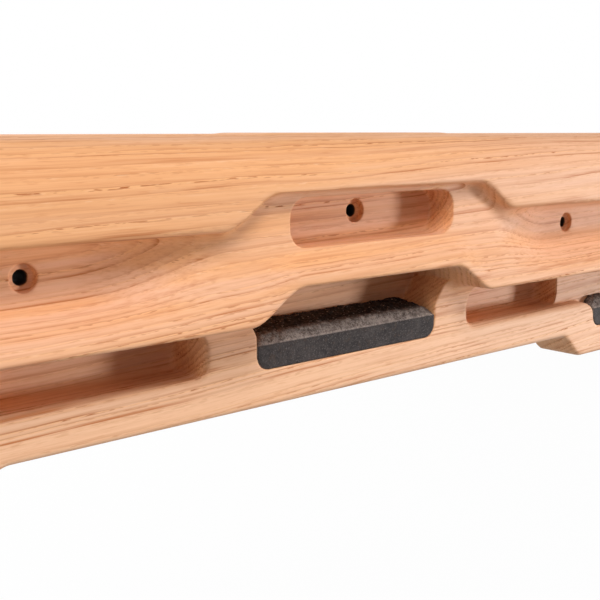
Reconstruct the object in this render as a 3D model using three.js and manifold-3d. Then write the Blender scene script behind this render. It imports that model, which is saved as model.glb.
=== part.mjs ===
// A climbing hangboard: one solid hardwood board, milled from the front into a sloping top edge,
// an upper row of shallow grooves with a finger pocket, and a lower row of deep pockets, with
// three rough stone edges bonded into seats in the lower row.
// Millimetres, +Z up, +Y into the wall. The origin is the centre of the flat back face.
import * as THREE from 'three';
import { mergeVertices } from 'three/addons/utils/BufferGeometryUtils.js';
import Module from 'manifold-3d';

const wasm = await Module();
wasm.setup();

// Board, overall
const boardLength = 640;
const endCornerRadius = 16;
const endFrontRadius = 9;

// Heights of the bands of the relief at the board's sides, from the top down
const upperBandHeight = 43;
const grooveFaceHeight = 18.5;
const slopeHeight = 23.5;
const middleFlatHeight = 3;
const lowerPocketHeight = 25.5;
const bottomRailHeight = 21.5;
const stepHeight = 16;

// The S-shaped steps that every long edge of the relief makes, by which the middle of the board
// stands higher than its sides
const stepLength = 33;
const upperStepAt = 87;
const middleStepAt = 71;
const wingStepLead = 23;
const wingStepLength = 23;

// Upper band with the sloper, and the top
const upperEdgeRadius = 3;
const sloperHeight = 25;
const sloperRun = 22;
const crownRise = 0.5;
const crownEndAt = 65;
const crownStepLength = 8;
const backEdgeRadius = 3;

// Upper row: the groove at the sides, and the raised centre with its finger pocket
const centreSetback = 10;
const grooveDepth = 24;
const grooveStartAt = 130;
const grooveStartLength = 76;
const grooveFillet = 7;
const centreFillet = 2.4;
const filletGrowLength = 16;
const upperPocketLength = 117.4;
const upperPocketHeight = 24.3;
const upperPocketDepth = 17;
const upperPocketRadius = 10;
const upperPocketMargin = 3.1;
const upperPocketCove = 1.5;

// Middle band: a narrow upright front under a long slope up to the groove or, in the middle, up
// to the pocket's lip. Each end of the slope is rounded over a share of its height
const middleSetback = 2.3;
const middleEdgeRadius = 2;
const pocketLipLand = 0.4;
const slopeRoundedShare = 0.3;
const ledgeFillet = 6.5;

// Lower face with its side pockets
const lowerSetback = 27.4;
const bottomEdgeRadius = 3;
const lowerPocketDepth = 25.4;
const backWall = 9.2;
const lowerPocketStart = 96.5;
const lowerPocketRadius = 6;
const lowerPocketTopRadius = 12;
const lowerPocketCove = 5;
const lowerLipRadius = 4.5;
const pocketCeilingLand = 0.4;

// Stone seats. The centre one flares out upwards, and each outer one starts at a shelf
const centreSeatLength = 130.6;
const seatFloorDrop = 2.4;
const seatRadius = 7.5;
const seatFlareStart = 16.4;
const seatFlareRun = 10.2;
const outerSeatLength = 72;
const outerSeatDepth = 8.6;
const outerSeatMargin = 18;
const shoulderLength = 15;
const shoulderDrop = 10.5;
const shelfLength = 32.5;
const seatCove = 1;

// Stones
const stoneGap = 0.3;
const stoneFaceHeight = 12.2;
const stoneChamferRise = 4.2;
const stoneChamferRun = 4.6;
const stoneRearRise = 3.8;
const stoneRoughness = 1.3;
const stoneStationStep = 4;
const stoneWaveLengths = [34, 15.5, 8.3];
const stoneWaveHeightShares = [0.5, 0.32, 0.3];
const stoneRunShares = [0.3, 0.6, 1];

// Adhesive beds, in a shallow channel milled into each seat
const channelDepth = 1.2;
const channelInset = 9;
const channelFrontInset = 2.6;
const channelRearInset = 1.6;
const bedGap = 0.3;

// Screw holes for the wall
const screwSpacing = 374.2;
const sideScrewDrop = 14.1;
const centreScrewDrop = 10;
const screwHoleRadius = 3.2;
const counterboreRadius = 6;
const counterboreDepth = 3;

// Fineness of the facets, and how far a cutter reaches past what it cuts
const stationStep = 3.8;
const arcSteps = 4;
const sloperSteps = 7;
const slopeSteps = 10;
const flareSteps = 4;
const cornerSteps = 5;
const holeSteps = 28;
const overrun = 8;

// Places worked out from the sizes above
const middleEdgeDrop = upperBandHeight + grooveFaceHeight + slopeHeight + middleFlatHeight;
const boardHeight = middleEdgeDrop + lowerPocketHeight + bottomRailHeight + stepHeight;
const boardThickness = lowerSetback + lowerPocketDepth + backWall;
const topZ = boardHeight / 2;
const wingBottomZ = -topZ;
const centreBottomZ = wingBottomZ + stepHeight;
const frontY = -boardThickness;
const lowerFaceY = frontY + lowerSetback;
const lowerBackY = -backWall;
const centreFaceY = frontY + centreSetback;
const grooveFaceY = frontY + grooveDepth;
const upperPocketBackY = centreFaceY + upperPocketDepth;
const sideUpperZ = topZ - upperBandHeight;
const sideLedgeZ = topZ - middleEdgeDrop;
const centreUpperZ = sideUpperZ + stepHeight;
const centreLedgeZ = sideLedgeZ + stepHeight;
const upperPocketTopZ = centreUpperZ - upperPocketMargin;
const upperPocketBottomZ = upperPocketTopZ - upperPocketHeight;
const sideSlopeTopZ = sideUpperZ - grooveFaceHeight;
const centreSlopeTopZ = upperPocketBottomZ + pocketLipLand;
const lowerFloorZ = centreBottomZ + bottomRailHeight;
const centreSeatZ = lowerFloorZ - seatFloorDrop;
const outerSeatZ = centreSeatZ - stepHeight;
const outerSeatBackY = lowerFaceY + outerSeatDepth;
const outerSeatEnd = boardLength / 2 - outerSeatMargin;
const outerSeatStart = outerSeatEnd - outerSeatLength;
const shoulderStart = outerSeatStart - shoulderLength;
const lowerPocketEnd = outerSeatStart - shelfLength;
const wingStepAt = outerSeatStart - wingStepLead;
const quarter = Math.PI / 2;

const clamp01 = (value) => Math.min(1, Math.max(0, value));
const ease = (share) => share * share * (3 - 2 * share);

// A straight ramp from 0 to 1 with both ends rounded off
function ramp(share) {
  const peak = 1 / (1 - slopeRoundedShare);
  if (share > 0.5) return 1 - ramp(1 - share);
  if (share > slopeRoundedShare) return peak * (share - slopeRoundedShare / 2);
  return (peak * share * share) / (2 * slopeRoundedShare);
}

// 0 in the middle of the board and 1 towards its ends, with the S between them
function step(x, at, length) {
  return ease(clamp01((Math.abs(x) - at) / length + 0.5));
}

const ledgeHeight = (x) => centreLedgeZ - stepHeight * step(x, middleStepAt, stepLength);

function arc(across, up, radius, from, to, steps) {
  const points = [];
  for (let i = 0; i <= steps; i += 1) {
    const angle = from + ((to - from) * i) / steps;
    points.push([across + radius * Math.cos(angle), up + radius * Math.sin(angle)]);
  }
  return points;
}

// The board's outline in a vertical plane across it, from the back's lower edge over the front
function boardSection(x) {
  const bottomZ = centreBottomZ - stepHeight * step(x, wingStepAt, wingStepLength);
  const ledgeZ = ledgeHeight(x);
  const upperZ = centreUpperZ - stepHeight * step(x, upperStepAt, stepLength);
  const groove = step(x, grooveStartAt, grooveStartLength);
  const faceY = frontY + centreSetback + (grooveDepth - centreSetback) * groove;
  const filletGrowAt = (upperPocketLength + filletGrowLength) / 2;
  const fillet = centreFillet + (grooveFillet - centreFillet) * step(x, filletGrowAt, filletGrowLength);
  const crownZ = topZ - crownRise * step(x, crownEndAt, crownStepLength);

  const points = [[0, bottomZ + backEdgeRadius], [-backEdgeRadius, bottomZ]];
  points.push(...arc(lowerFaceY + bottomEdgeRadius, bottomZ + bottomEdgeRadius, bottomEdgeRadius,
    -quarter, -2 * quarter, arcSteps));
  points.push(...arc(lowerFaceY - ledgeFillet, ledgeZ - ledgeFillet, ledgeFillet,
    0, quarter, arcSteps));
  const bandY = frontY + middleSetback;
  points.push(...arc(bandY + middleEdgeRadius, ledgeZ + middleEdgeRadius, middleEdgeRadius,
    -quarter, -2 * quarter, arcSteps));

  const footZ = ledgeZ + middleFlatHeight;
  const slopeTopZ = centreSlopeTopZ + (sideSlopeTopZ - centreSlopeTopZ) * groove;
  for (let i = 0; i <= slopeSteps; i += 1) {
    const share = i / slopeSteps;
    points.push([bandY + (faceY - bandY) * ramp(share), footZ + (slopeTopZ - footZ) * share]);
  }

  points.push(...arc(faceY - fillet, upperZ - fillet, fillet, 0, quarter, arcSteps));
  points.push(...arc(frontY + upperEdgeRadius, upperZ + upperEdgeRadius, upperEdgeRadius,
    -quarter, -2 * quarter, arcSteps));
  const sloperZ = crownZ - sloperHeight;
  for (let i = 0; i <= sloperSteps; i += 1) {
    const angle = (quarter * i) / sloperSteps;
    points.push([frontY + sloperRun * (1 - Math.cos(angle)), sloperZ + sloperHeight * Math.sin(angle)]);
  }
  points.push([-backEdgeRadius, crownZ], [0, crownZ - backEdgeRadius]);
  return points;
}

// Places along the board where its section changes, closer together inside the S steps
function boardStations() {
  const spans = [
    [crownEndAt, crownStepLength],
    [upperStepAt, stepLength],
    [middleStepAt, stepLength],
    [grooveStartAt, grooveStartLength],
    [wingStepAt, wingStepLength],
  ];
  const half = new Set([0, boardLength / 2]);
  for (const [at, length] of spans) {
    const count = Math.ceil(length / stationStep);
    for (let i = 0; i <= count; i += 1) half.add(at - length / 2 + (length * i) / count);
  }
  const sorted = [...half].sort((a, b) => a - b);
  const spread = [sorted[0]];
  for (const x of sorted) {
    if (x - spread[spread.length - 1] > stationStep / 2) spread.push(x);
  }
  return [...spread.slice(1).reverse().map((x) => -x), ...spread];
}

// A closed body through sections with the same number of points, set at places along X. The
// sections run clockwise in Y and Z
function loft(stations, sections) {
  const count = sections[0].length;
  const positions = [];
  stations.forEach((x, i) => sections[i].forEach(([y, z]) => positions.push(x, y, z)));
  const index = [];
  for (let i = 0; i + 1 < stations.length; i += 1) {
    for (let k = 0; k < count; k += 1) {
      const a = i * count + k;
      const b = i * count + ((k + 1) % count);
      index.push(a, a + count, b + count, a, b + count, b);
    }
  }
  const addCap = (station, outwards) => {
    const section = sections[station];
    const contour = section.map(([y, z]) => new THREE.Vector2(y, z));
    for (const [a, b, c] of THREE.ShapeUtils.triangulateShape(contour, [])) {
      const turn = (section[b][0] - section[a][0]) * (section[c][1] - section[a][1])
        - (section[b][1] - section[a][1]) * (section[c][0] - section[a][0]);
      const first = station * count;
      if (turn * outwards > 0) index.push(first + a, first + b, first + c);
      else index.push(first + a, first + c, first + b);
    }
  };
  addCap(0, -1);
  addCap(stations.length - 1, 1);
  const geometry = new THREE.BufferGeometry();
  geometry.setAttribute('position', new THREE.Float32BufferAttribute(positions, 3));
  geometry.setIndex(index);
  return geometry;
}

function toSolid(geometry) {
  const bare = geometry.clone();
  bare.deleteAttribute('normal');
  bare.deleteAttribute('uv');
  const merged = mergeVertices(bare);
  return new wasm.Manifold(new wasm.Mesh({
    numProp: 3,
    vertProperties: new Float32Array(merged.attributes.position.array),
    triVerts: new Uint32Array(merged.index.array),
  }));
}

function toGeometry(solid) {
  const mesh = solid.getMesh();
  const geometry = new THREE.BufferGeometry();
  geometry.setAttribute('position', new THREE.BufferAttribute(new Float32Array(mesh.vertProperties), 3));
  geometry.setIndex(new THREE.BufferAttribute(new Uint32Array(mesh.triVerts), 1));
  geometry.computeVertexNormals();
  return geometry;
}

const toShape = (outline) => new THREE.Shape(outline.map(([a, b]) => new THREE.Vector2(a, b)));

// An outline in X and Z, pushed forward from backY, with a rounded corner at the back
function pushedForward(outline, backY, length, cove) {
  const geometry = new THREE.ExtrudeGeometry(toShape(outline), {
    depth: length - 2 * cove,
    steps: 1,
    bevelEnabled: cove > 0,
    bevelThickness: cove,
    bevelSize: cove,
    bevelOffset: -cove,
    bevelSegments: arcSteps,
  });
  geometry.translate(0, 0, cove);
  geometry.rotateX(quarter);
  geometry.translate(0, backY, 0);
  return toSolid(geometry);
}

// Radii in the order lower left, lower right, upper right, upper left
function roundedOutline(left, right, bottom, top, [r1, r2, r3, r4]) {
  return [
    ...arc(left + r1, bottom + r1, r1, 2 * quarter, 3 * quarter, cornerSteps),
    ...arc(right - r2, bottom + r2, r2, -quarter, 0, cornerSteps),
    ...arc(right - r3, top - r3, r3, 0, quarter, cornerSteps),
    ...arc(left + r4, top - r4, r4, quarter, 2 * quarter, cornerSteps),
  ];
}

const evenRadii = (radius) => [radius, radius, radius, radius];

function mirrored(solid) {
  return solid.mirror([1, 0, 0]);
}

function boardBlank() {
  const stations = boardStations();
  const relief = toSolid(loft(stations, stations.map(boardSection)));
  const half = boardLength / 2;
  const elevation = pushedForward(
    roundedOutline(-half, half, wingBottomZ, topZ, evenRadii(endCornerRadius)),
    overrun, boardThickness + 2 * overrun, 0,
  );
  const plan = roundedOutline(-half, half, frontY, overrun + endFrontRadius, evenRadii(endFrontRadius));
  const planGeometry = new THREE.ExtrudeGeometry(toShape(plan), {
    depth: boardHeight + 2 * overrun,
    bevelEnabled: false,
  });
  planGeometry.translate(0, 0, wingBottomZ - overrun);
  return relief.intersect(elevation).intersect(toSolid(planGeometry));
}

function upperPocketCutter() {
  const half = upperPocketLength / 2;
  const outline = roundedOutline(-half, half, upperPocketBottomZ, upperPocketTopZ,
    evenRadii(upperPocketRadius));
  return pushedForward(outline, upperPocketBackY, upperPocketDepth + centreSetback + overrun,
    upperPocketCove);
}

// The pocket's mouth is rounded over along its lip and up its inner end, and the rounding fades
// out towards the ceiling. It runs on along the shelf to where the outer seat starts
function sidePocketMouth() {
  const mouthEnd = outerSeatStart + lowerPocketRadius + lowerLipRadius;
  const outlineAt = (grow) => roundedOutline(
    lowerPocketStart - grow, mouthEnd, lowerFloorZ - grow, sideLedgeZ - pocketCeilingLand,
    [lowerPocketRadius + grow, lowerPocketRadius, lowerPocketRadius, lowerPocketTopRadius + grow],
  ).map(([x, z]) => [-x, z]);
  const depths = [frontY];
  const sections = [outlineAt(lowerLipRadius)];
  for (const [across, up] of arc(0, 0, lowerLipRadius, 0, quarter, arcSteps)) {
    depths.push(lowerFaceY + lowerLipRadius - across);
    sections.push(outlineAt(lowerLipRadius - up));
  }
  // Lofted along X, then turned to run along Y
  return toSolid(loft(depths, sections).rotateZ(quarter));
}

function sidePocketCutter() {
  const outline = roundedOutline(lowerPocketStart, lowerPocketEnd, lowerFloorZ,
    sideLedgeZ - pocketCeilingLand,
    [lowerPocketRadius, lowerPocketRadius, lowerPocketRadius, lowerPocketTopRadius]);
  const pocket = pushedForward(outline, lowerBackY, lowerPocketDepth + lowerSetback, lowerPocketCove);
  return pocket.add(sidePocketMouth());
}

// Right half of the centre seat's outline, from its floor up: a round corner, a side that flares
// out above the stone, and a top that follows the S of the ledge
function centreSeatHalf() {
  const right = centreSeatLength / 2;
  const half = arc(right - seatRadius, centreSeatZ + seatRadius, seatRadius, -quarter, 0, cornerSteps);
  const ceiling = (x) => ledgeHeight(x) - pocketCeilingLand;
  const startZ = centreSeatZ + seatFlareStart;
  const endX = right + seatFlareRun;
  const rise = ceiling(endX) - startZ;
  for (let i = 0; i <= flareSteps; i += 1) {
    const share = i / flareSteps;
    half.push([right + seatFlareRun * share * share, startZ + (rise * share * (1 + share)) / 2]);
  }
  const flatEnd = middleStepAt - stepLength / 2;
  const count = Math.ceil((endX - flatEnd) / stationStep);
  for (let i = 1; i <= count; i += 1) {
    const x = endX + ((flatEnd - endX) * i) / count;
    half.push([x, ceiling(x)]);
  }
  return half;
}

// The seat's outline widens into a shelf level with the pocket's floor, and the shelf falls into
// the seat by a long shoulder
function outerSeatOutline() {
  const top = sideLedgeZ - pocketCeilingLand;
  const shelfX = lowerPocketEnd - lowerPocketRadius;
  const cornerX = outerSeatEnd - seatRadius;
  const cornerZ = outerSeatZ + seatRadius;
  const shoulder = [];
  for (let i = 0; i <= cornerSteps; i += 1) {
    const angle = quarter * (1 - i / cornerSteps);
    shoulder.push([
      shoulderStart + shoulderLength * Math.cos(angle),
      lowerFloorZ - shoulderDrop * (1 - Math.sin(angle)),
    ]);
  }
  return [
    ...arc(outerSeatStart + seatRadius, cornerZ, seatRadius, 2 * quarter, 3 * quarter, cornerSteps),
    ...arc(cornerX, cornerZ, seatRadius, -quarter, 0, cornerSteps),
    ...arc(cornerX, top - seatRadius, seatRadius, 0, quarter, cornerSteps),
    [shelfX, top],
    [shelfX, lowerFloorZ],
    ...shoulder,
  ];
}

const centreSeat = {
  left: -centreSeatLength / 2,
  right: centreSeatLength / 2,
  floorZ: centreSeatZ,
  backY: lowerBackY,
};
const outerSeat = {
  left: outerSeatStart,
  right: outerSeatEnd,
  floorZ: outerSeatZ,
  backY: outerSeatBackY,
};

function channelBlock(seat, grow) {
  const frontAt = lowerFaceY + channelFrontInset;
  const rearAt = seat.backY - channelRearInset;
  const length = seat.right - seat.left - 2 * channelInset - 2 * grow;
  const depth = rearAt - frontAt - 2 * grow;
  const height = channelDepth - grow;
  const geometry = new THREE.BoxGeometry(length, depth, height);
  geometry.translate((seat.left + seat.right) / 2, (frontAt + rearAt) / 2, seat.floorZ - height / 2);
  return geometry;
}

// The channel's cutter reaches up into the seat's own space, so that both open into each other
function channelCutter(seat) {
  const block = toSolid(channelBlock(seat, 0));
  return block.add(block.translate([0, 0, channelDepth / 2]));
}

function seatCutters() {
  const half = centreSeatHalf();
  const centreOutline = [...half, ...half.map(([x, z]) => [-x, z]).reverse()];
  const centre = pushedForward(centreOutline, lowerBackY, lowerPocketDepth + lowerSetback, seatCove)
    .add(channelCutter(centreSeat));
  const outer = pushedForward(outerSeatOutline(), outerSeatBackY, outerSeatDepth + lowerSetback, seatCove)
    .add(channelCutter(outerSeat));
  return centre.add(outer).add(mirrored(outer));
}

function screwCutter(x, z, faceY) {
  const hole = new THREE.CylinderGeometry(screwHoleRadius, screwHoleRadius,
    boardThickness + overrun, holeSteps);
  hole.translate(x, -boardThickness / 2, z);
  const mouthLength = counterboreDepth + grooveDepth;
  const mouth = new THREE.CylinderGeometry(counterboreRadius, counterboreRadius, mouthLength, holeSteps);
  mouth.translate(x, faceY + counterboreDepth - mouthLength / 2, z);
  return toSolid(hole).add(toSolid(mouth));
}

function makeBoard() {
  const sidePocket = sidePocketCutter();
  const side = screwSpacing / 2;
  let board = boardBlank()
    .subtract(upperPocketCutter())
    .subtract(sidePocket)
    .subtract(mirrored(sidePocket))
    .subtract(seatCutters());
  for (const x of [-side, side]) {
    board = board.subtract(screwCutter(x, sideUpperZ - sideScrewDrop, grooveFaceY));
  }
  board = board.subtract(screwCutter(0, upperPocketTopZ - centreScrewDrop, upperPocketBackY));
  return toGeometry(board);
}

// Height of the split top above its mean line: three waves that run askew to each other
function splitHeight(x, share, seat) {
  let sum = 0;
  stoneWaveLengths.forEach((length, i) => {
    const run = x / length + share * (i + 1) + seat.left / seat.right;
    sum += stoneWaveHeightShares[i] * Math.sin(2 * Math.PI * run);
  });
  return stoneRoughness * sum;
}

function makeStone(seat) {
  const left = seat.left + stoneGap;
  const right = seat.right - stoneGap;
  const bottomZ = seat.floorZ + stoneGap;
  const rearY = seat.backY - stoneGap;
  const faceTopZ = bottomZ + stoneFaceHeight;
  const chamferY = lowerFaceY + stoneChamferRun;
  const count = Math.round((right - left) / stoneStationStep);
  const stations = [];
  const sections = [];
  for (let i = 0; i <= count; i += 1) {
    const x = left + ((right - left) * i) / count;
    const roughZ = faceTopZ + stoneChamferRise;
    const section = [[rearY, bottomZ], [lowerFaceY, bottomZ], [lowerFaceY, faceTopZ]];
    section.push([chamferY, roughZ + splitHeight(x, 0, seat) / 2]);
    for (const share of stoneRunShares) {
      const y = chamferY + (rearY - chamferY) * share;
      section.push([y, roughZ + stoneRearRise * share + splitHeight(x, share, seat)]);
    }
    stations.push(x);
    sections.push(section);
  }
  const block = toSolid(loft(stations, sections));
  const outline = roundedOutline(left, right, bottomZ, topZ, evenRadii(seatRadius - stoneGap));
  return toGeometry(block.intersect(pushedForward(outline, 0, boardThickness, 0)));
}

const wood = () => new THREE.MeshStandardMaterial({ color: 0xd9a06c, roughness: 0.55, metalness: 0 });
const stone = () => new THREE.MeshStandardMaterial({ color: 0x3a3a3c, roughness: 0.85, metalness: 0 });
const adhesive = () => new THREE.MeshStandardMaterial({ color: 0x8a7350, roughness: 0.4, metalness: 0 });

const hangboard = new THREE.Group();

function addPiece(name, geometry, material) {
  const mesh = new THREE.Mesh(geometry, material);
  mesh.name = name;
  hangboard.add(mesh);
}

const leftSeat = { ...outerSeat, left: -outerSeat.right, right: -outerSeat.left };

addPiece('board_body', makeBoard(), wood());
for (const [name, seat] of [['centre', centreSeat], ['left', leftSeat], ['right', outerSeat]]) {
  addPiece(`${name}_stone`, makeStone(seat), stone());
  addPiece(`${name}_stone_adhesive`, toGeometry(toSolid(channelBlock(seat, bedGap))), adhesive());
}

export default hangboard;
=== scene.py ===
"""A climbing hangboard, dressed and lit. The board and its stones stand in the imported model's
frame, in metres: X runs along the board, Y into the wall and Z up."""
import math

import bpy
import numpy as np
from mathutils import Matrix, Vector


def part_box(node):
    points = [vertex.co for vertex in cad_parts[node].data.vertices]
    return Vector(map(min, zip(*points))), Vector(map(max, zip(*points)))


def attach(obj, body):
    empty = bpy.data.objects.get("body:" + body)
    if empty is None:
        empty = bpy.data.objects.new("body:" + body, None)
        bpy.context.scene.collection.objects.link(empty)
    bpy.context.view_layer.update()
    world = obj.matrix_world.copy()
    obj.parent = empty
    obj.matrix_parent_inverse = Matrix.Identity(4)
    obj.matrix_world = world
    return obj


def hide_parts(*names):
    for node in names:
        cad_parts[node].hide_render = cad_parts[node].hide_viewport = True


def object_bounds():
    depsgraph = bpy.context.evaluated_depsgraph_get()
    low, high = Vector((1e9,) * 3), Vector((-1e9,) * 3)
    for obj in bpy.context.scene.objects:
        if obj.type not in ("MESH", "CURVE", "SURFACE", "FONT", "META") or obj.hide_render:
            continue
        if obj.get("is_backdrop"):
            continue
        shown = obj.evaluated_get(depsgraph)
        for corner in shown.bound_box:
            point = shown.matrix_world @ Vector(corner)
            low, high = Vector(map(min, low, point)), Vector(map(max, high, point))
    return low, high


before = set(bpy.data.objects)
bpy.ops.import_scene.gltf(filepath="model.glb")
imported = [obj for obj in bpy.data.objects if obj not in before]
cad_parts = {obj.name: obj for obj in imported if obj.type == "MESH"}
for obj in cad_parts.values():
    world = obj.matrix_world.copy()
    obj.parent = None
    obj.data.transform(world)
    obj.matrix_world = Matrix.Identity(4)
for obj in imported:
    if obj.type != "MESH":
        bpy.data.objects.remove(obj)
cad_low, cad_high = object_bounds()

# Camera
# It stands close to the left half of the board and looks along it, a little from above.
# Its place was fitted to the screw seats and to the long edges.
image_pixels = 600
focal_pixels = 986.7
sensor_width = 36
camera_place = (-0.3602, -0.4036, 0.0764)
camera_heading = math.radians(41.16)
camera_tilt = math.radians(9.73)
nearest_seen = 0.01

bpy.ops.object.camera_add(
    location=camera_place,
    rotation=(math.pi / 2 - camera_tilt, 0, -camera_heading),
)
camera = bpy.context.object
camera.name = "camera"
camera.data.sensor_width = sensor_width
camera.data.lens = sensor_width * focal_pixels / image_pixels
camera.data.clip_start = nearest_seen
bpy.context.scene.camera = camera

# Board
# One plank of ring-porous hardwood, milled from the front on a router table. The edges are
# broken with sandpaper, the broad faces are sanded fair, and the whole board is oiled.
voxel_size = 0.0007
same_point = 1e-6
edge_passes = 2
fairing_passes = 24
edge_turn = math.radians(14)
edge_reach = 2
board_triangles = 190000

bpy.ops.object.select_all(action="DESELECT")
board = bpy.data.objects.new("board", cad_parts["board_body"].data.copy())
bpy.context.collection.objects.link(board)
bpy.context.view_layer.objects.active = board
board.select_set(True)
bpy.ops.object.mode_set(mode="EDIT")
bpy.ops.mesh.select_all(action="SELECT")
bpy.ops.mesh.remove_doubles(threshold=same_point)
bpy.ops.object.mode_set(mode="OBJECT")

milled = board.modifiers.new("milled", "REMESH")
milled.mode = "VOXEL"
milled.voxel_size = voxel_size
bpy.ops.object.modifier_apply(modifier="milled")
broken_edges = board.modifiers.new("broken_edges", "SMOOTH")
broken_edges.iterations = edge_passes
bpy.ops.object.modifier_apply(modifier="broken_edges")

# The fairing leaves out the edges, which are where neighbouring normals turn sharply
normals = np.empty(3 * len(board.data.vertices))
board.data.vertices.foreach_get("normal", normals)
normals = normals.reshape(-1, 3)
ends = np.empty(2 * len(board.data.edges), dtype=int)
board.data.edges.foreach_get("vertices", ends)
ends = ends.reshape(-1, 2)
turned = (normals[ends[:, 0]] * normals[ends[:, 1]]).sum(axis=1) < math.cos(edge_turn)
on_edge = np.zeros(len(normals), dtype=bool)
on_edge[ends[turned]] = True
for _ in range(edge_reach):
    on_edge[ends[on_edge[ends].any(axis=1)]] = True
broad_faces = board.vertex_groups.new(name="broad_faces")
broad_faces.add(np.flatnonzero(~on_edge).tolist(), 1, "REPLACE")
faired = board.modifiers.new("faired", "SMOOTH")
faired.iterations = fairing_passes
faired.vertex_group = "broad_faces"
bpy.ops.object.modifier_apply(modifier="faired")

# The remeshed board is all quads, of two triangles each
thinned = board.modifiers.new("thinned", "DECIMATE")
thinned.ratio = min(1, board_triangles / (2 * len(board.data.polygons)))
bpy.ops.object.modifier_apply(modifier="thinned")
bpy.ops.object.shade_smooth()


class Socket:
    """An output in a node tree. Sums on it in Python add the Math nodes that work them out."""

    def __init__(self, tree, output=None):
        self.tree = tree
        self.output = output

    def node(self, kind, settings, sockets, output=0):
        """Adds a node: its settings first, then the values or links of its sockets."""
        made = self.tree.nodes.new("ShaderNode" + kind)
        for name, value in settings.items():
            setattr(made, name, value)
        for name, value in sockets.items():
            if isinstance(value, Socket):
                self.tree.links.new(value.output, made.inputs[name])
            else:
                made.inputs[name].default_value = value
        return Socket(self.tree, made.outputs[output])

    def math(self, operation, *values):
        return self.node("Math", {"operation": operation}, dict(enumerate(values)))

    def __add__(self, other):
        return self.math("ADD", self, other)

    def __sub__(self, other):
        return self.math("SUBTRACT", self, other)

    def __rsub__(self, other):
        return self.math("SUBTRACT", other, self)

    def __mul__(self, other):
        return self.math("MULTIPLY", self, other)

    def __truediv__(self, other):
        return self.math("DIVIDE", self, other)

    def __pow__(self, other):
        return self.math("POWER", self, other)

    __radd__ = __add__
    __rmul__ = __mul__


def rise(value, start, end):
    """0 below start and 1 above end, with a soft step between them."""
    return value.node("MapRange", {"interpolation_type": "SMOOTHSTEP"},
                      {"Value": value, "From Min": start, "From Max": end})


def blend(share, colour_a, colour_b, mode="MIX"):
    """The first colour, with the second one laid over it by that share."""
    return share.node("Mix", {"data_type": "RGBA", "blend_type": mode},
                      {0: share, 6: colour_a, 7: colour_b}, 2)


def opened(name):
    """A new material, emptied, and the start of its node maths."""
    material = bpy.data.materials.new(name)
    material.use_nodes = True
    material.node_tree.nodes.clear()
    return material, Socket(material.node_tree)


def closed(tree, kind, surface):
    """Sends the finished surface to an output node of that kind."""
    output = tree.nodes.new(kind)
    tree.links.new(surface.output, output.inputs["Surface"])


# Sizes of the grain, in millimetres. The pith ran behind the plank and above it, and each
# swing of the fibres has a length along the plank, a width across it and a reach
pith_depth = 101
pith_height = 146
grain_climb = 0.030
grain_lean = 0.012
slow_swing = (170, 55, 2.6)
quick_swing = (38, 14, 0.45)
ring_width = 3.0
ring_drift = 2.4
drift_width = 9

# Where in a ring, from 0 where it starts to 1 where it ends, its wood changes
pores_end = (0.05, 0.42)
browning = (0.35, 0.96)
ring_end = (0.955, 1)
end_grain_browning = (0.25, 0.75)
end_grain_ring_end = (0.9, 1)

# Some rings are strong and many are faint, and each fades in and out along the plank
faintest_ring = 0.2
ring_contrast = 1.8
browning_curve = 1.8
least_browning = 0.14
ring_browning = 0.62
faintest_patch = 0.5

# Where the plank's colour changes, in millimetres along it and up from the pith
orange_fades = (-60, 210)
orange_grows = (-200, -110)
# Below this the lower edge is painted paler: painted light, not a change in the wood
painted_light_edge_ends = (-190, -155)

# The plank's colours: peach and orange wood, which lie in wide bands, the browner wood that
# closes each ring, the golden porous wood that opens the next, its pores, the short orange
# dashes between them, the pale flecks, which also give the painted light along the lower edge, and
# the tints of the end grain
peach_wood = (0.785, 0.440, 0.272, 1)
orange_wood = (0.795, 0.382, 0.160, 1)
late_wood = (0.500, 0.180, 0.064, 1)
golden_wood = (0.820, 0.435, 0.190, 1)
pore_brown = (0.430, 0.140, 0.046, 1)
dash_orange = (0.520, 0.175, 0.048, 1)
pale_fleck_and_painted_light = (0.870, 0.570, 0.370, 1)
end_grain = (0.95, 0.86, 0.72, 1)
end_fleck = (0.860, 0.480, 0.220, 1)
hole_shade_black = (0.010, 0.006, 0.004, 1)

# Axes of the screw holes in X and Z, their radius, and the width of the rim of painted shade
# about each bore, in millimetres
screw_axes = ((-187.1, 18.4), (0, 35.4), (187.1, 18.4))
bore_radius = 3.2
hole_shade_inside = 0.1
hole_shade_outside = 0.4

# The satin of the oil, and how deep the open pores and fibres are felt, in metres
oil_roughness = 0.52
fibre_roughness = 0.12
pore_roughness = 0.2
oil_gloss = 0.22
grain_relief = 0.0002
relief_strength = 0.3

oiled_wood, wood = opened("oiled_wood")
place = wood.node("TexCoord", {}, {}, "Object")
millimetres = wood.node("VectorMath", {"operation": "SCALE"}, {0: place, "Scale": 1000})


def swung(vector, length, width, reach):
    """The vector, moved to and fro by up to reach, slowly along the plank and faster across."""
    drift = wood.node("Mapping", {}, {
        "Vector": millimetres,
        "Scale": (1 / length, 1 / width, 1 / width),
    })
    drift = wood.node("TexNoise", {}, {"Vector": drift, "Scale": 1, "Detail": 1}, "Color")
    drift = wood.node("VectorMath", {"operation": "SUBTRACT"}, {0: drift, 1: (0.5, 0.5, 0.5)})
    drift = wood.node("VectorMath", {"operation": "SCALE"}, {0: drift, "Scale": 2 * reach})
    return wood.node("VectorMath", {"operation": "ADD"}, {0: vector, 1: drift})


# The fibres run along X, climb a little, and wander as a tree's do
wandered = swung(swung(millimetres, *slow_swing), *quick_swing)
along = wood.node("SeparateXYZ", {}, {0: wandered}, "X")
depth = wood.node("SeparateXYZ", {}, {0: wandered}, "Y") - along * grain_lean - pith_depth
height = wood.node("SeparateXYZ", {}, {0: wandered}, "Z") - along * grain_climb - pith_height
fibres = wood.node("CombineXYZ", {}, {0: along, 1: depth, 2: height})


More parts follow.
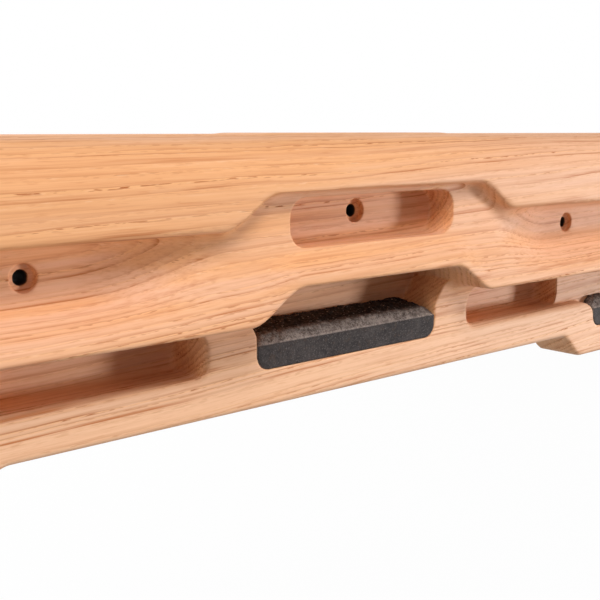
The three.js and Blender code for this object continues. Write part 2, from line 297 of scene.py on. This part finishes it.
def streaks(length, width, detail, seed):
    """Noise drawn out along the fibres, from 0 to 1. Length and width are in millimetres."""
    stretched = wood.node("Mapping", {}, {
        "Vector": fibres,
        "Location": (seed, 2 * seed, 3 * seed),
        "Scale": (1 / length, 1 / width, 1 / width),
    })
    return wood.node("TexNoise", {}, {"Vector": stretched, "Scale": 1, "Detail": detail})


patches = streaks(length=60, width=4, detail=2, seed=17)
pore_mouths = streaks(length=6, width=0.7, detail=1, seed=7)
short_dashes = streaks(length=11, width=0.9, detail=2, seed=29)
short_flecks = streaks(length=7, width=0.6, detail=1, seed=23)
cut_mouths = streaks(length=9, width=1.1, detail=1, seed=31)
fine_fibres = streaks(length=48, width=0.75, detail=2, seed=3)
coarse_fibres = streaks(length=130, width=2.2, detail=2, seed=13)
wide_bands = streaks(length=300, width=8, detail=1, seed=5)
broad_tone = streaks(length=420, width=34, detail=0, seed=11)

# Growth rings about the pith, of uneven width and strength. Each grows browner outwards, and
# the next one starts with golden wood and a row of open pores
radius = (depth * depth + height * height) ** 0.5
uneven = wood.node("TexNoise", {"noise_dimensions": "1D"}, {
    "W": radius / drift_width,
    "Scale": 1,
    "Detail": 1,
})
rings = radius / ring_width + uneven * ring_drift
age = rings.math("FRACT", rings)
ring_number = rings.math("FLOOR", rings)
chance = wood.node("TexWhiteNoise", {"noise_dimensions": "1D"}, {"W": ring_number})
strength = faintest_ring + (1 - faintest_ring) * chance ** ring_contrast
patchy = faintest_patch + rise(patches, 0.35, 0.65)
late = rise(age, *browning) ** browning_curve * (1 - rise(age, *ring_end)) * patchy
late = late * (least_browning + ring_browning * strength)
late = late * (0.6 + 0.8 * rise(fine_fibres, 0.3, 0.7))
porous = 1 - rise(age, *pores_end)
pores = rise(pore_mouths, 0.50, 0.62) * porous * patchy * strength
dashes = rise(short_dashes, 0.58, 0.76)
flecks = rise(short_flecks, 0.60, 0.72) * porous

# The plank is more orange at its left and peach at its right. Along its lower edge it is painted
# paler, painted light that brightens the lower rail and lower face
orange_share = rise(wide_bands * 0.6 + broad_tone * 0.4, 0.38, 0.62)
orange_share = orange_share * (0.80 - 0.5 * rise(along, *orange_fades))
orange_share = orange_share * (0.45 + 0.55 * rise(height, *orange_grows))
colour = blend(orange_share, peach_wood, orange_wood)

# Each mark in the wood, how strongly it shows, and its colour. The first is painted light, not a
# mark of the wood: the lower edge painted paler
for mark, share, mark_colour in (
    (1 - rise(height, *painted_light_edge_ends), 0.45, pale_fleck_and_painted_light),
    (rise(coarse_fibres, 0.42, 0.78), 0.20, late_wood),
    (rise(fine_fibres, 0.44, 0.80), 0.22, late_wood),
    (rise(1 - fine_fibres, 0.50, 0.78), 0.18, pale_fleck_and_painted_light),
    (porous * strength, 0.5, golden_wood),
    (late, 1, late_wood),
    (dashes, 0.30, dash_orange),
    (flecks, 0.35, pale_fleck_and_painted_light),
    (pores, 0.8, pore_brown),
):
    colour = blend(mark * share, colour, mark_colour)

# End grain is a little darker, and shows its rings and the mouths of its pores more plainly
normal = wood.node("NewGeometry", {}, {}, "Normal")
facing_along = wood.node("SeparateXYZ", {}, {0: normal}, "X")
across_grain = rise(facing_along.math("ABSOLUTE", facing_along), 0.2, 0.95)
end_rings = rise(age, *end_grain_browning) * (1 - rise(age, *end_grain_ring_end))
colour = blend(across_grain, colour, end_grain, "MULTIPLY")
colour = blend(across_grain * end_rings * 0.3, colour, late_wood)
colour = blend(across_grain * rise(cut_mouths, 0.52, 0.66) * 0.5, colour, end_fleck)

# The screw holes are painted near-black: painted shade in and around the bores
cross = wood.node("SeparateXYZ", {}, {0: millimetres}, "X")
upright = wood.node("SeparateXYZ", {}, {0: millimetres}, "Z")
facing_wall = wood.node("CombineXYZ", {}, {0: cross, 2: upright})
from_axis = None
for x, z in screw_axes:
    distance = wood.node("VectorMath", {"operation": "DISTANCE"},
                         {0: facing_wall, 1: (x, 0, z)}, "Value")
    from_axis = distance if from_axis is None else distance.math("MINIMUM", distance, from_axis)
outside_bore = rise(from_axis, bore_radius - hole_shade_inside, bore_radius + hole_shade_outside)
colour = blend(1 - outside_bore, colour, hole_shade_black)

relief = wood.node("Bump", {}, {
    "Strength": relief_strength,
    "Distance": grain_relief,
    "Height": fine_fibres * 0.5 - pores - dashes * 0.4,
})
surface = wood.node("BsdfPrincipled", {}, {
    "Base Color": colour,
    "Roughness": oil_roughness + fibre_roughness * fine_fibres + pore_roughness * pores,
    "Specular IOR Level": oil_gloss,
    "Normal": relief,
})
closed(oiled_wood.node_tree, "ShaderNodeOutputMaterial", surface)

board.data.materials.clear()
board.data.materials.append(oiled_wood)
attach(board, "root")
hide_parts("board_body")

# Stone edges
# Three bars of dark fine-grained stone, one in each seat. The front is honed flat, the lower
# corners are ground round to fit the seat, and the top is split and left rough for grip.
corner_radius = 0.0072
corner_segments = 10
face_height = 0.0122
chamfer_run = 0.0046
chamfer_rise = 0.0042
rear_rise = 0.0038
end_run = 0.006
end_drop = 0.0045
stone_voxel = 0.00045
touch = 1e-5
facing_up = 0.2

# How far behind the honed face the split starts, its painted highlight line ends, and its chalk wear
# and painted light end
face_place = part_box("centre_stone")[0].y
split_start = (0.0001, 0.0005)
highlight_line_end = (0.0004, 0.0014)
wear_and_light_end = (0.003, 0.010)

# How each kind of break in the split top is drawn: its size and its depth
breaks = {
    "chipped": (0.0068, 0.0022),
    "broken": (0.0026, 0.0012),
    "pitted": (0.0011, 0.0007),
}
break_detail = 2

# The stone's colours where it is honed, where its split top lies in painted shade, where it is
# chalked and painted lit, and the painted highlight along its edge
honed_dark = (0.017, 0.013, 0.013, 1)
honed_pale = (0.050, 0.040, 0.038, 1)
honed_speck = (0.150, 0.125, 0.118, 1)
rust_brown = (0.060, 0.034, 0.021, 1)
shaded_split_dark = (0.010, 0.006, 0.005, 1)
shaded_split_pale = (0.058, 0.042, 0.035, 1)
crystal_grey = (0.42, 0.35, 0.31, 1)
lit_chalk_dark = (0.085, 0.065, 0.056, 1)
lit_chalk_pale = (0.31, 0.255, 0.225, 1)
edge_highlight = (0.35, 0.29, 0.26, 1)

# Its grains, by how many of them lie along a metre
clouds_per_metre = 70
mottles_per_metre = 320
specks_per_metre = 420
crystals_per_metre = 480
grit_per_metre = 1100

honed_roughness = 0.7
split_roughness = 0.2
stone_gloss = 0.15
stone_relief = 0.0004
stone_relief_strength = 0.6

split_stone, stone = opened("split_stone")
place = stone.node("TexCoord", {}, {}, "Object")
behind_face = stone.node("SeparateXYZ", {}, {0: place}, "Y") - face_place
split = rise(behind_face, *split_start)
# A band along the front of the split top is painted lit, with chalk wear in it; behind it the top is
# painted shade
lit_and_worn = 1 - rise(behind_face, *wear_and_light_end)


def grains(per_metre, detail, roughness=0.5):
    """Noise all through the stone, from 0 to 1."""
    return stone.node("TexNoise", {}, {
        "Vector": place,
        "Scale": per_metre,
        "Detail": detail,
        "Roughness": roughness,
    })


mottle = grains(mottles_per_metre, detail=4, roughness=0.7)
cloud = grains(clouds_per_metre, detail=2)
grit = grains(grit_per_metre, detail=2, roughness=0.8)
rust = rise(grains(specks_per_metre, detail=1), 0.60, 0.72)
crystals = stone.node("TexVoronoi", {}, {"Vector": place, "Scale": crystals_per_metre}, "Distance")

# The honed front is dull, with a fine grain and a few brown specks
dull = rise(mottle * 0.6 + cloud * 0.4, 0.36, 0.66)
honed = blend(dull, honed_dark, honed_pale)
honed = blend(rise(grit, 0.54, 0.70) * 0.7, honed, honed_speck)
honed = blend(rust * 0.35, honed, rust_brown)

# The split top is black behind its front, painted shade under the ledge, and grey along the front,
# with chalk wear and painted light; a painted highlight runs along the edge
shaded_split = blend(rise(mottle, 0.40, 0.70), shaded_split_dark, shaded_split_pale)
shaded_split = blend((1 - rise(crystals, 0.10, 0.36)) * rise(grit, 0.38, 0.58), shaded_split, crystal_grey)
dusty = rise(mottle * 0.5 + grit * 0.5, 0.38, 0.62)
lit_chalk = blend(dusty, lit_chalk_dark, lit_chalk_pale)
# A painted highlight along the front edge of the split top
edge_highlight_line = (1 - rise(behind_face, *highlight_line_end)) * (0.25 + 0.75 * dusty)
lit_chalk = blend(edge_highlight_line, lit_chalk, edge_highlight)
grain = stone.node("Bump", {}, {
    "Strength": stone_relief_strength,
    "Distance": stone_relief,
    "Height": mottle * 0.6 + grit * (0.15 + 0.7 * split),
})
surface = stone.node("BsdfPrincipled", {}, {
    "Base Color": blend(split, honed, blend(lit_and_worn * 0.85 + 0.1 * cloud, shaded_split, lit_chalk)),
    "Roughness": honed_roughness + split_roughness * split,
    "Specular IOR Level": stone_gloss,
    "Normal": grain,
})
closed(split_stone.node_tree, "ShaderNodeOutputMaterial", surface)


def pick_edges(bar, wanted):
    """Goes to edit mode with only those edges of the bar selected."""
    bpy.ops.object.mode_set(mode="EDIT")
    bpy.ops.mesh.select_mode(type="EDGE")
    bpy.ops.mesh.select_all(action="DESELECT")
    bpy.ops.object.mode_set(mode="OBJECT")
    for edge in bar.data.edges:
        first, second = (bar.data.vertices[i].co for i in edge.vertices)
        edge.select = wanted(first, second)
    bpy.ops.object.mode_set(mode="EDIT")


for side in ("centre", "left", "right"):
    low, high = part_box(side + "_stone")
    face_top = low.z + face_height
    front_top = face_top + chamfer_rise
    rear_top = front_top + rear_rise
    bpy.ops.object.select_all(action="DESELECT")
    bpy.ops.mesh.primitive_cube_add(size=1)
    bar = bpy.context.object
    bar.name = side + "_split_stone"
    for vertex in bar.data.vertices:
        share = vertex.co + Vector((0.5, 0.5, 0.5))
        vertex.co.x = low.x + (high.x - low.x) * share.x
        vertex.co.y = low.y + (high.y - low.y) * share.y
        vertex.co.z = low.z + (front_top + rear_rise * share.y - low.z) * share.z

    # The two lower end corners are ground round, and the top of the front is chamfered
    pick_edges(bar, lambda a, b: max(a.z, b.z) < low.z + touch and abs(a.x - b.x) < touch)
    bpy.ops.mesh.bevel(offset=corner_radius, segments=corner_segments)
    pick_edges(bar, lambda a, b: min(a.z, b.z) > front_top - touch and max(a.y, b.y) < low.y + touch)
    bpy.ops.mesh.bevel(offset=(chamfer_run + chamfer_rise) / 2, segments=1)
    bpy.ops.object.mode_set(mode="OBJECT")

    cut = bar.modifiers.new("cut", "REMESH")
    cut.mode = "VOXEL"
    cut.voxel_size = stone_voxel
    bpy.ops.object.modifier_apply(modifier="cut")

    # Only the top is split: the roughness grows from the crisp edge of the honed front
    split_top = bar.vertex_groups.new(name="split_top")
    for vertex in bar.data.vertices:
        grown = min(1, max(0, (vertex.co.z - face_top) / chamfer_rise))
        if grown > 0 and vertex.normal.z > facing_up:
            split_top.add([vertex.index], grown, "REPLACE")
    for name, (size, reach) in breaks.items():
        texture = bpy.data.textures.new(side + "_" + name, "CLOUDS")
        texture.noise_scale = size
        texture.noise_depth = break_detail
        chips = bar.modifiers.new(name, "DISPLACE")
        chips.texture = texture
        chips.texture_coords = "LOCAL"
        chips.vertex_group = "split_top"
        chips.mid_level = 0.5
        chips.strength = reach
        bpy.ops.object.modifier_apply(modifier=name)

    # The top is worn down towards both ends, and the whole stone stays in its seat
    for vertex in bar.data.vertices:
        from_end = min(vertex.co.x - low.x, high.x - vertex.co.x)
        if vertex.co.z > face_top:
            lift = (vertex.co.z - face_top) / (rear_top - face_top)
            vertex.co.z -= lift * end_drop * max(0, 1 - from_end / end_run) ** 2
        vertex.co.x = min(high.x, max(low.x, vertex.co.x))
        vertex.co.y = min(high.y, max(low.y, vertex.co.y))
        vertex.co.z = min(high.z, vertex.co.z)
    bpy.ops.object.shade_smooth()
    bar.data.materials.append(split_stone)
    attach(bar, "root")
    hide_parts(side + "_stone")

# Adhesive beds
# A thin bed of cured resin in the channel under each stone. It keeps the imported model's own
# solid, and only a rim of it could ever be seen.
resin_dark = (0.42, 0.33, 0.21, 1)
resin_pale = (0.56, 0.46, 0.32, 1)
resin_clouds_per_metre = 90
bubbles_per_metre = 700
bubble_relief = 0.0002
bubble_relief_strength = 0.3

cured_resin, resin = opened("cured_resin")
place = resin.node("TexCoord", {}, {}, "Object")
bubbles = resin.node("TexVoronoi", {}, {"Vector": place, "Scale": bubbles_per_metre}, "Distance")
cloudy = resin.node("TexNoise", {}, {
    "Vector": place,
    "Scale": resin_clouds_per_metre,
    "Detail": 3,
})
dimples = resin.node("Bump", {}, {
    "Strength": bubble_relief_strength,
    "Distance": bubble_relief,
    "Height": bubbles,
})
surface = resin.node("BsdfPrincipled", {}, {
    "Base Color": blend(rise(cloudy, 0.3, 0.7), resin_dark, resin_pale),
    "Roughness": 0.32 + 0.2 * rise(bubbles, 0.1, 0.4),
    "Normal": dimples,
})
closed(cured_resin.node_tree, "ShaderNodeOutputMaterial", surface)
for side in ("centre", "left", "right"):
    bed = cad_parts[side + "_stone_adhesive"]
    bed.data.materials.clear()
    bed.data.materials.append(cured_resin)

# Floor and light
# A plain pale floor well below the board, and a white surround. A soft lamp on the right throws
# the shadows. Wider ones stand above the front and on the left, and one lights the back.
floor_drop = 0.5
floor_size = 12
floor_bounce = (0.28, 0.28, 0.28, 1)
floor_white = 1.07
floor_white_share = 0.9
surround_level = 0.04

# Heading from the board's front towards the right, elevation, distance, width, and the level
# at which the lamp lights a white surface that faces it
lamps = {
    "key_lamp": (58, -6, 4.0, 0.75, 0.86),
    "front_lamp": (-30, 44, 4.0, 1.8, 0.92),
    "left_lamp": (-90, -13, 4.0, 1.8, 0.95),
    "left_front_lamp": (-60, 15, 4.0, 1.8, 0.10),
    "back_lamp": (180, 22, 4.0, 1.8, 0.85),
}


def seen_directly(start):
    """1 for camera, glossy and transmission rays, which see the white of the surround."""
    camera_ray = start.node("LightPath", {}, {}, "Is Camera Ray")
    rays = camera_ray.output.node.outputs
    glossy_ray = Socket(start.tree, rays["Is Glossy Ray"])
    passing_ray = Socket(start.tree, rays["Is Transmission Ray"])
    seen = camera_ray + glossy_ray + passing_ray
    return seen.math("MINIMUM", seen, 1)


bpy.ops.object.select_all(action="DESELECT")
bpy.ops.mesh.primitive_plane_add(size=floor_size, location=(0, 0, cad_low.z - floor_drop))
floor = bpy.context.object
floor.name = "floor"
floor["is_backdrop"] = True
pale_floor, floor_start = opened("pale_floor")
lit = floor_start.node("BsdfDiffuse", {}, {"Color": floor_bounce})
white = floor_start.node("Emission", {}, {"Strength": floor_white})
white_share = seen_directly(floor_start) * floor_white_share
surface = floor_start.node("MixShader", {}, {0: white_share, 1: lit, 2: white})
closed(pale_floor.node_tree, "ShaderNodeOutputMaterial", surface)
floor.data.materials.append(pale_floor)

world = bpy.data.worlds.new("surround")
bpy.context.scene.world = world
world.use_nodes = True
world.node_tree.nodes.clear()
sky_start = Socket(world.node_tree)
sky_level = surround_level + (1 - surround_level) * seen_directly(sky_start)
sky = sky_start.node("Background", {}, {"Color": (1, 1, 1, 1), "Strength": sky_level})
closed(world.node_tree, "ShaderNodeOutputWorld", sky)

for name, (heading, elevation, distance, width, level) in lamps.items():
    heading = math.radians(heading)
    elevation = math.radians(elevation)
    towards = Vector((
        math.sin(heading) * math.cos(elevation),
        -math.cos(heading) * math.cos(elevation),
        math.sin(elevation),
    ))
    bpy.ops.object.light_add(type="AREA", location=towards * distance)
    lamp = bpy.context.object
    lamp.name = name
    lamp.rotation_euler = towards.to_track_quat("Z", "Y").to_euler()
    lamp.data.shape = "DISK"
    lamp.data.size = width
    lamp.data.energy = level * (math.pi * distance) ** 2

bpy.context.scene.view_settings.view_transform = "Standard"

low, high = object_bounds()
